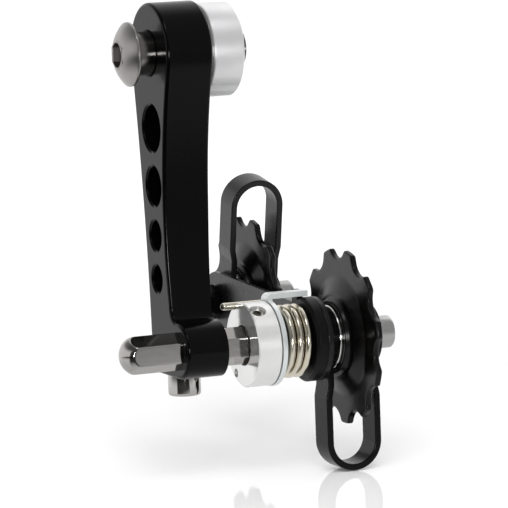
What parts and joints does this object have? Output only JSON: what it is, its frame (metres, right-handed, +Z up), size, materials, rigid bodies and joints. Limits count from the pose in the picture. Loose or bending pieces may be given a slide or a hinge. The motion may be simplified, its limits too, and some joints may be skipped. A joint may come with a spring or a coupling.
{
  "type": "bicycle chain tensioner",
  "caption": "Sprung chain tensioner: a hanger arm clamps a sliding hex bar whose far end carries a swinging cage with toothed jockey wheels and chain guide loops.",
  "frame": {"origin": "the hanger bolt's axis at the face of the spacer that seats on the frame's hanger", "axes": "+X along the hanger bolt towards the bicycle, +Y to the rear, +Z up"},
  "size_m": [0.0703, 0.1021, 0.115],
  "materials": {
    "arm_anodised": "satin dark anodised",
    "bolt_nickel": "satin nickel plated",
    "spacer_aluminium": "bright turned aluminium",
    "bar_steel": "drawn bright steel",
    "collar_steel": "polished turned steel",
    "zinc_steel": "bluish zinc plate",
    "spring_steel": "warm nickel plated wire",
    "screw_steel": "satin steel",
    "black_steel": "satin black coating",
    "cap_polished": "polished",
    "housing_black": "dull black moulding",
    "wheel_black": "satin black moulding",
    "bush_bronze": "sintered bronze"
  },
  "bodies": {
    "arm": {"arm": "arm_anodised", "clamp_screw": "screw_steel", "hanger_washer": "zinc_steel", "hanger_spacer": "spacer_aluminium"},
    "bolt": {"hanger_bolt": "bolt_nickel"},
    "bar": {"hex_bar": "bar_steel", "spring_collar": "collar_steel", "collar_set_screw": "black_steel", "stop_washer": "zinc_steel", "torsion_spring": "spring_steel", "pivot_thrust_washer": "zinc_steel", "front_loop": "black_steel", "front_axle_screw": "screw_steel", "front_wheel_sleeve": "bush_bronze", "front_dust_cap_left": "cap_polished", "front_dust_cap_right": "cap_polished"},
    "cage": {"pivot_housing": "housing_black", "pivot_bush": "bush_bronze", "cage_plate": "black_steel", "rear_loop": "black_steel", "rear_axle_screw": "screw_steel", "rear_axle_nut": "black_steel", "rear_wheel_sleeve": "bush_bronze", "rear_dust_cap_left": "cap_polished", "rear_dust_cap_right": "cap_polished", "rear_spacer_washer": "zinc_steel"},
    "front_wheel": {"front_jockey_wheel": "wheel_black"},
    "rear_wheel": {"rear_jockey_wheel": "wheel_black"}
  },
  "joints": [
    {"name": "bolt_slide", "type": "slide", "parent": "arm", "child": "bolt", "axis": [1, 0, 0], "range_m": [0, 0.0046]},
    {"name": "bar_slide", "type": "slide", "parent": "arm", "child": "bar", "axis": [1, 0, 0], "range_m": [-0.0025, 0.008]},
    {"name": "cage_swing", "type": "hinge", "parent": "bar", "child": "cage", "pos_m": [0, -0.01117, -0.07037], "axis": [1, 0, 0], "range_deg": [-75, 0], "stiffness_Nm_per_rad": 0.6, "springref_deg": 51.57, "deforming": ["torsion_spring"]},
    {"name": "front_wheel_spin", "type": "hinge", "parent": "bar", "child": "front_wheel", "pos_m": [0.0236, -0.01117, -0.07037], "axis": [1, 0, 0], "continuous": true},
    {"name": "rear_wheel_spin", "type": "hinge", "parent": "cage", "child": "rear_wheel", "pos_m": [0.0236, 0.04831, -0.06788], "axis": [1, 0, 0], "continuous": true}
  ]
}
